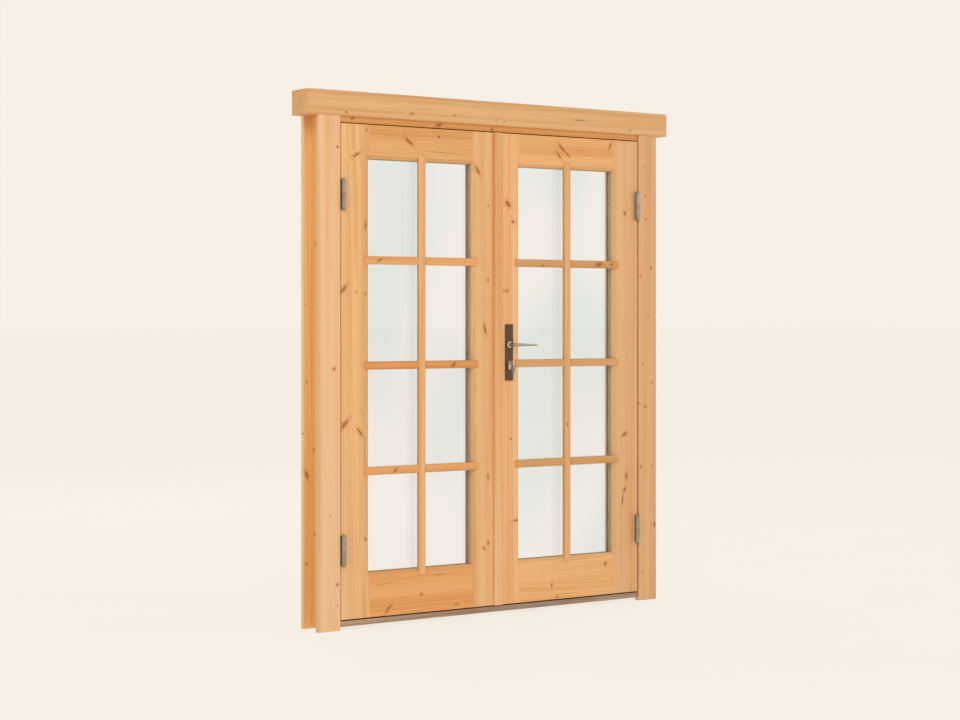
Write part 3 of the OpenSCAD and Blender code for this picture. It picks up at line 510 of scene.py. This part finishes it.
def lathe(bm, base, axis, profile, sides=32):
    """Turns a profile of (distance along axis, radius) about the axis, in metres."""
    axis = axis.normalized()
    u = axis.orthogonal().normalized()
    v = axis.cross(u)
    skin(bm, [ring_of(bm, base + axis * h, u, v, r, r, sides) for h, r in profile])


def dome(bm, base, axis, radius, height, sides=24):
    """A round screw or rivet head."""
    steps = 5
    profile = [(0, radius)]
    for i in range(1, steps + 1):
        turn = math.pi / 2 * i / steps
        profile.append((height * math.sin(turn), max(radius * math.cos(turn), radius * 0.06)))
    lathe(bm, base, axis, profile, sides)


def lever(name, start_y, grip_y):
    """A cast lever: round neck, a quarter bend, then a blade that narrows to its tip."""
    bm = bmesh.new()
    out = 1 if grip_y > start_y else -1
    loops = []
    for y in (start_y, start_y + (grip_y - start_y) * 0.35, grip_y - out * BEND_R):
        loops.append(ring_of(bm, Vector((AXIS_X, y, AXIS_Z)), Vector((1, 0, 0)), UP,
                             NECK_R * NECK_SHARE, NECK_R * NECK_SHARE, LEVER_SIDES))
    for i in range(1, BEND_STEPS + 1):
        s = i / BEND_STEPS
        turn = math.pi / 2 * s
        centre = Vector((AXIS_X + BEND_R * (1 - math.cos(turn)),
                         grip_y - out * BEND_R * (1 - math.sin(turn)), AXIS_Z))
        side = Vector((math.cos(turn), -out * math.sin(turn), 0))
        loops.append(ring_of(bm, centre, side, UP, NECK_R * (NECK_SHARE - 0.14 * s),
                             NECK_R * (NECK_SHARE - 0.06 * s), LEVER_SIDES))
    length = LEVER_HIGH[0] - TIP_INSET - AXIS_X - BEND_R
    for i in range(1, BLADE_STEPS + 1):
        s = i / BLADE_STEPS
        past = max(s - (1 - TIP_SHARE), 0) / TIP_SHARE
        fade = math.sqrt(max(1 - past ** 2, 0.004))
        centre = Vector((AXIS_X + BEND_R + length * s, grip_y + out * DROOP * s * s,
                         AXIS_Z - DROOP * s))
        loops.append(ring_of(bm, centre, Vector((0, -out, 0)), UP,
                             NECK_R * (0.66 - 0.34 * s) * fade,
                             NECK_R * (0.80 - 0.46 * s) * fade, LEVER_SIDES))
    skin(bm, loops)
    obj = piece(name + "_blade", "handle", LEVER, bm)
    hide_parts(name)
    collar = bmesh.new()
    lathe(collar, Vector((AXIS_X, start_y, AXIS_Z)), INWARDS * out,
          [(h * MM, r * MM) for h, r in COLLAR], 40)
    piece(name + "_collar", "right_leaf", LEVER, collar)


def hinge_caps():
    """Rounded ends on the hinge barrels."""
    for node, body, top in (("frame_hinge_halves", "frame", False),
                            ("left_leaf_hinge_halves", "left_leaf", True),
                            ("right_leaf_hinge_halves", "right_leaf", True)):
        bm = bmesh.new()
        for x, y, z_low, z_high in BARRELS[node]:
            at = Vector((x, y, z_high if top else z_low))
            dome(bm, at, UP if top else -UP, CAP_R, CAP_H, 32)
        piece(node.replace("halves", "caps"), body, HINGE, bm)


def barrels():
    """Middle of each hinge barrel and its two ends, read from the hinge nodes."""
    found = {}
    for node in ("frame_hinge_halves", "left_leaf_hinge_halves", "right_leaf_hinge_halves"):
        groups = {}
        for vert in NODES[node].data.vertices:
            key = (vert.co.x > 0, round(vert.co.z / 0.7))
            groups.setdefault(key, []).append(vert.co)
        found[node] = []
        for (right, _), points in sorted(groups.items()):
            front = min(p.y for p in points)
            inner = min(abs(p.x) for p in points)
            x = (inner + BARREL_R) * (1 if right else -1)
            found[node].append((x, front + BARREL_R, min(p.z for p in points),
                                max(p.z for p in points)))
    return found


BARRELS = barrels()


def hinge_screws():
    """Countersunk heads on the hinge plates, seen when a leaf stands open."""
    jamb_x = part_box("frame_hinge_halves")[1][0]
    for node, body, face, way in (
            ("frame_hinge_halves", "frame", jamb_x - HINGE_PLATE_T, -1),
            ("left_leaf_hinge_halves", "left_leaf", LEAF_X + HINGE_PLATE_T, 1),
            ("right_leaf_hinge_halves", "right_leaf", LEAF_X + HINGE_PLATE_T, 1)):
        bm = bmesh.new()
        for x, y, z_low, z_high in BARRELS[node]:
            side = 1 if x > 0 else -1
            for share in (0.25, 0.75):
                for back in HINGE_SCREW_ROWS:
                    at = Vector((side * face, y + back, z_low + (z_high - z_low) * share))
                    dome(bm, at, Vector((side * way, 0, 0)), HINGE_HEAD_R, HINGE_HEAD_H, 20)
        piece(node.replace("halves", "screws"), body, LOCK, bm)


def strip_frame(bm, x0, x1, z0, z1, y, wide, deep):
    """A mitred, slightly hollow fillet round a rectangle: wide on the glass, deep on the wood."""
    corners = [(x0, z0, 1, 1), (x1, z0, -1, 1), (x1, z1, -1, -1), (x0, z1, 1, -1)]
    rows = []
    for x, z, sx, sz in corners:
        rows.append([bm.verts.new((x, y, z)),
                     bm.verts.new((x + sx * wide, y, z + sz * wide)),
                     bm.verts.new((x + sx * wide * 0.35, y - deep * 0.45, z + sz * wide * 0.35)),
                     bm.verts.new((x, y - deep, z))])
    for i in range(4):
        a, b = rows[i], rows[(i + 1) % 4]
        for j in range(4):
            k = (j + 1) % 4
            bm.faces.new((a[j], b[j], b[k], a[k]))


def glazing_fillets():
    """Tan sealant where the front panes meet the timber."""
    t = Tree("sealant")
    place = t("TexCoord").outputs["Object"]
    cloud = t.noise(place, 60, 3)
    colour = t.mix(t.smooth(cloud, 0.3, 0.7), rgb(184, 156, 116), rgb(160, 134, 98))
    sealant = t.finish(t("BsdfPrincipled", {"Base Color": colour, "Roughness": 0.35,
                                            "Subsurface Weight": 0.1}))
    for side in ("left", "right"):
        pane_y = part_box(side + "_glass")[0][1]
        low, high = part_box(side + "_top_rail")
        sill_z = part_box(side + "_bottom_rail")[1][2]
        bm = bmesh.new()
        strip_frame(bm, low[0] + TENON, high[0] - TENON, sill_z, low[2], pane_y,
                    FILLET_WIDE, FILLET_DEEP)
        piece(side + "_sealant", side + "_leaf", sealant, bm, smooth=False)


def bead_pins():
    """Small brass pins that hold the glazing beads, on the inside."""
    for side in ("left", "right"):
        low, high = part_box(side + "_glazing_beads")
        bm = bmesh.new()
        for count, horizontal in ((8, False), (3, True)):
            for i in range(count):
                s = (i + 0.5) / count
                for far in (False, True):
                    if horizontal:
                        x = low[0] + (high[0] - low[0]) * s
                        z = high[2] - PIN_INSET if far else low[2] + PIN_INSET
                    else:
                        x = high[0] - PIN_INSET if far else low[0] + PIN_INSET
                        z = low[2] + (high[2] - low[2]) * s
                    dome(bm, Vector((x, high[1], z)), INWARDS, PIN_R, PIN_H, 12)
        piece(side + "_bead_pins", side + "_leaf", BRASS, bm)


def bracket_screws():
    """Round heads at the corners of the slide bolts' brackets."""
    for name in ("top_bolt_bracket", "bottom_bolt_bracket"):
        low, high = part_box(name)
        bm = bmesh.new()
        foot_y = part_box("left_meeting_stile")[1][1] + BRACKET_T
        for z in (low[2] + BRACKET_SCREW_END, high[2] - BRACKET_SCREW_END):
            for x in (low[0] + BRACKET_SCREW_SIDE, high[0] - BRACKET_SCREW_SIDE):
                dome(bm, Vector((x, foot_y, z)), INWARDS, BRACKET_HEAD_R, BRACKET_HEAD_H, 20)
        piece(name + "_screws", "left_leaf", LOCK, bm)


lever("outer_lever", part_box("outer_plate")[0][1] + SEAT_H, LEVER_LOW[1] + NECK_R)
lever("inner_lever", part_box("inner_plate")[1][1] - SEAT_H, INNER_HIGH[1] - NECK_R)
hinge_caps()
hinge_screws()
glazing_fillets()
bead_pins()
bracket_screws()


# ---- studio ----

BACKDROP = rgb(246, 240, 230)
FLOOR_GLOW = 0.875
# Strength of the surrounding light on matt surfaces; it is seen and mirrored at 1
AMBIENT = 0.70
LAMP_COLOUR = (1.0, 0.97, 0.93)
LAMP_AIM = Vector((0, 0, 1.0))
# Place and size in metres, power in watts, and whether it shows in reflections
LAMPS = {
    "key_light": ((-4.2, -5.0, 4.6), 2.2, 105, False),
    "strip_light": ((6.4, -5.0, 2.4), 0.9, 40, True),
    "back_light": ((1.0, 6.0, 4.0), 3.0, 60, False),
}

# The photograph's view, solved from the doors' converging edges
EYE = (-4.637, -6.573, 1.140)
HEADING = -35
FOCAL_MM = 76.94
SHIFT_Y = -0.0428


def studio():
    """A plain pale room: surrounding light, a glowing floor and three lamps."""
    world = bpy.data.worlds.new("studio")
    bpy.context.scene.world = world
    world.use_nodes = True
    sky = world.node_tree.nodes["Background"]
    sky.inputs["Color"].default_value = BACKDROP
    rays = world.node_tree.nodes.new("ShaderNodeLightPath")
    dim = world.node_tree.nodes.new("ShaderNodeMapRange")
    dim.inputs["To Min"].default_value = 1.0
    dim.inputs["To Max"].default_value = AMBIENT
    world.node_tree.links.new(rays.outputs["Is Diffuse Ray"], dim.inputs["Value"])
    world.node_tree.links.new(dim.outputs[0], sky.inputs["Strength"])

    floor_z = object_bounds()[0][2] - 0.001
    bpy.ops.mesh.primitive_plane_add(size=400, location=(0, 0, floor_z))
    floor = bpy.context.object
    floor.name = "floor"
    t = Tree("pale_floor")
    place = t("TexCoord").outputs["Object"]
    grey = t.mix(t.smooth(t.noise(place, 2, 3), 0.3, 0.7), rgb(106, 104, 100),
                 rgb(108, 106, 102))
    floor.data.materials.append(t.finish(t("BsdfPrincipled", {
        "Base Color": grey, "Roughness": 1.0, "Specular IOR Level": 0.0,
        "Emission Color": BACKDROP, "Emission Strength": FLOOR_GLOW})))
    floor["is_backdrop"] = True

    for name, (place, size, power, mirrored) in LAMPS.items():
        lamp = bpy.data.lights.new(name, "AREA")
        lamp.size = size
        lamp.energy = power
        lamp.color = LAMP_COLOUR
        obj = bpy.data.objects.new(name, lamp)
        obj.location = place
        aim = LAMP_AIM - obj.location
        obj.rotation_euler = aim.to_track_quat("-Z", "Y").to_euler()
        obj.visible_glossy = mirrored
        bpy.context.collection.objects.link(obj)


def camera():
    lens = bpy.data.cameras.new("camera")
    lens.sensor_width = 36
    lens.lens = FOCAL_MM
    lens.shift_y = SHIFT_Y
    eye = bpy.data.objects.new("camera", lens)
    eye.location = EYE
    eye.rotation_euler = (math.radians(90), 0, math.radians(HEADING))
    bpy.context.collection.objects.link(eye)
    bpy.context.scene.camera = eye


studio()
camera()
bpy.context.scene.view_settings.view_transform = "Standard"
